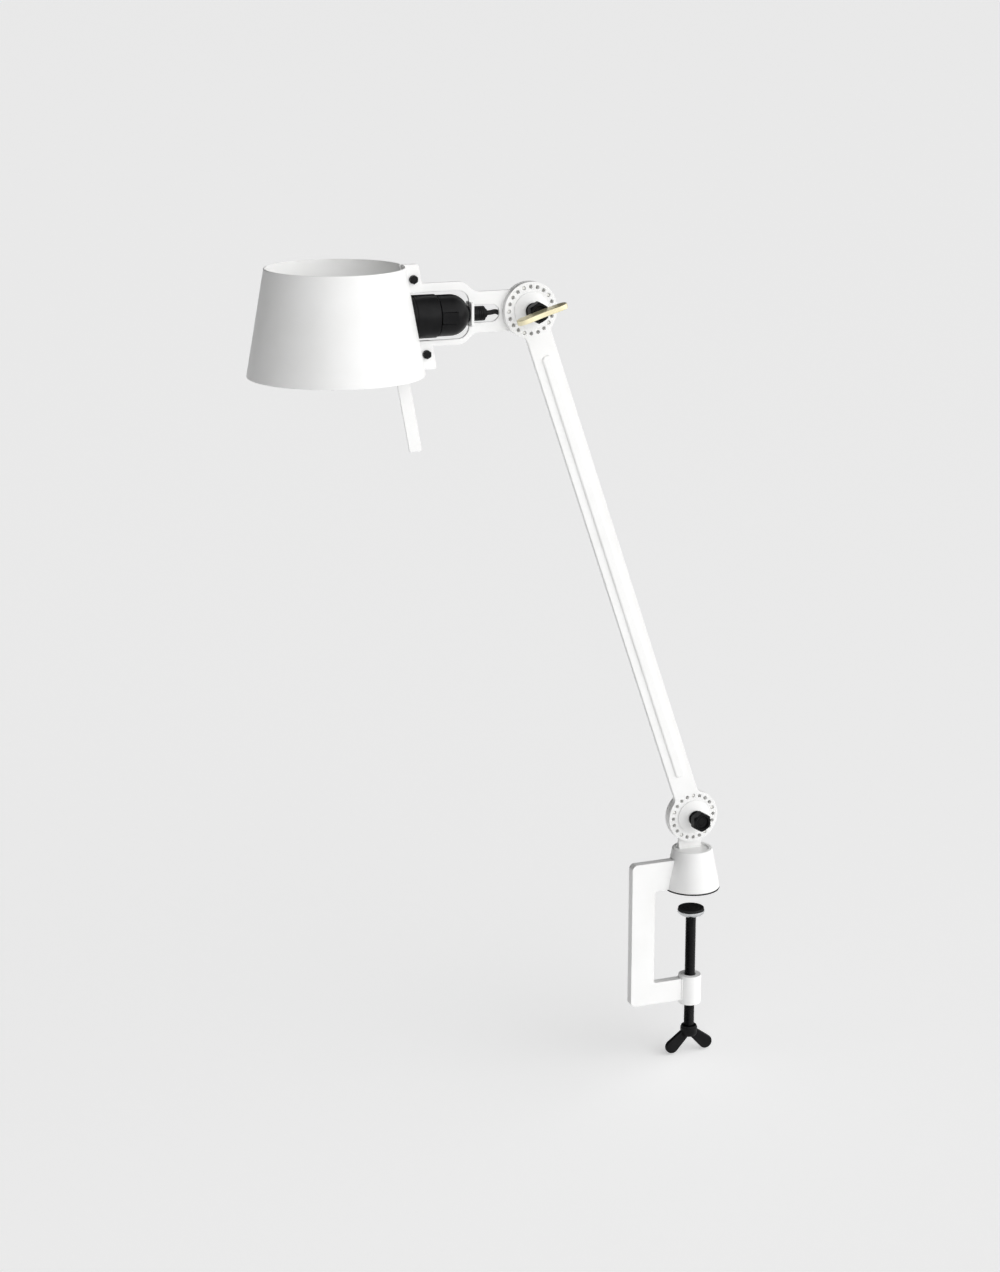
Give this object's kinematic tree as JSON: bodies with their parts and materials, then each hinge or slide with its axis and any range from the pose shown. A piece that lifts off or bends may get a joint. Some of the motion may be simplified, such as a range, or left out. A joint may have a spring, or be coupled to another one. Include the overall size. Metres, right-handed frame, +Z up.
{
  "type": "swing arm desk lamp",
  "caption": "Swing arm desk lamp with a cone shade, a flat steel arm on two indexed pivots with hand knobs, and a swivel base on a screw clamp for a table edge.",
  "frame": {"origin": "middle of the underside of the round seat that stands on the table top, on the axis that the lamp swivels about", "axes": "+Z up, -X towards the shade, -Y towards the side of the clamp knobs"},
  "size_m": [0.522, 0.179, 0.8971],
  "materials": {
    "white_coat": "semi-gloss white powder coat",
    "black_plastic": "satin black moulded plastic",
    "black_steel": "blackened steel",
    "brass": "bare brass, slightly dulled",
    "bare_steel": "zinc plated steel",
    "rubber": "matte black rubber",
    "nylon": "milky nylon",
    "frosted_glass": "frosted bulb glass"
  },
  "bodies": {
    "clamp": {"clamp_frame": "white_coat", "clamp_boss": "white_coat", "foot_pad": "rubber", "base_cup": "white_coat", "cup_set_screw_left": "black_steel", "cup_set_screw_right": "black_steel", "swivel_thrust_washer": "nylon"},
    "pressure_foot": {"pressure_pad": "bare_steel", "pad_cushion": "rubber"},
    "clamp_screw": {"clamp_spindle": "black_steel", "clamp_wing_handle": "black_plastic"},
    "swivel": {"swivel_tongue": "white_coat", "swivel_washer": "bare_steel", "swivel_nut": "bare_steel", "lower_pivot_bolt": "black_steel", "lower_back_washer": "bare_steel"},
    "lower_knob": {"lower_clamp_knob": "black_plastic"},
    "arm": {"arm_plate": "white_coat", "lower_index_ring": "nylon", "elbow_index_ring": "nylon", "lead_clip_upper": "black_plastic", "lead_clip_middle": "black_plastic", "lead_clip_lower": "black_plastic", "lead_in_arm": "rubber", "lead_outlet": "black_plastic", "lower_dished_washer": "white_coat", "elbow_dished_washer": "white_coat", "lower_flange_washer": "black_steel", "elbow_flange_washer": "black_steel"},
    "head": {"head_bracket": "white_coat", "shade": "white_coat", "seam_bolt_upper": "black_steel", "seam_bolt_lower": "black_steel", "seam_nut_upper": "black_steel", "seam_nut_lower": "black_steel", "holder_collar": "black_plastic", "holder_dome": "black_plastic", "holder_insert": "nylon", "holder_contact": "brass", "holder_nipple": "bare_steel", "cable_gland": "black_plastic", "bulb_cap": "bare_steel", "bulb_glass": "frosted_glass", "lead_at_head": "rubber", "lead_elbow_loop": "rubber", "elbow_pivot_bolt": "black_steel", "elbow_back_washer": "bare_steel"},
    "elbow_knob": {"elbow_clamp_knob": "black_plastic", "elbow_brass_wing": "brass"},
    "rocker": {"rocker_switch": "black_plastic"}
  },
  "joints": [
    {"name": "clamp_travel", "type": "slide", "parent": "clamp", "child": "pressure_foot", "axis": [0, 0, 1], "range_m": [-0.066, 0.02]},
    {"name": "clamp_screw_turn", "type": "hinge", "parent": "pressure_foot", "child": "clamp_screw", "pos_m": [0, 0, -0.17], "axis": [0, 0, 1], "range_deg": [-13580, 4120]},
    {"name": "base_swivel", "type": "hinge", "parent": "clamp", "child": "swivel", "pos_m": [0, 0, 0.04], "axis": [0, 0, 1], "range_deg": [-180, 180]},
    {"name": "arm_pivot", "type": "hinge", "parent": "swivel", "child": "arm", "pos_m": [0, 0, 0.082], "axis": [0, 1, 0], "range_deg": [-54, 72]},
    {"name": "lower_knob_turn", "type": "hinge", "parent": "swivel", "child": "lower_knob", "pos_m": [0, -0.016, 0.082], "axis": [0, 1, 0], "range_deg": [-180, 180]},
    {"name": "head_pivot", "type": "hinge", "parent": "arm", "child": "head", "pos_m": [-0.19455, 0, 0.64959], "axis": [0, 1, 0], "range_deg": [-40, 90], "deforming": ["lead_elbow_loop"]},
    {"name": "elbow_knob_turn", "type": "hinge", "parent": "head", "child": "elbow_knob", "pos_m": [-0.19455, -0.016, 0.64959], "axis": [0, 1, 0], "range_deg": [-180, 180]},
    {"name": "switch_rocker", "type": "hinge", "parent": "head", "child": "rocker", "pos_m": [-0.28655, -0.0119, 0.64759], "axis": [0, 0, 1], "range_deg": [0, 12]}
  ],
  "couplings": [
    {"joint": "clamp_screw_turn", "follows": "clamp_travel", "rad_per_m": 3590.4}
  ]
}
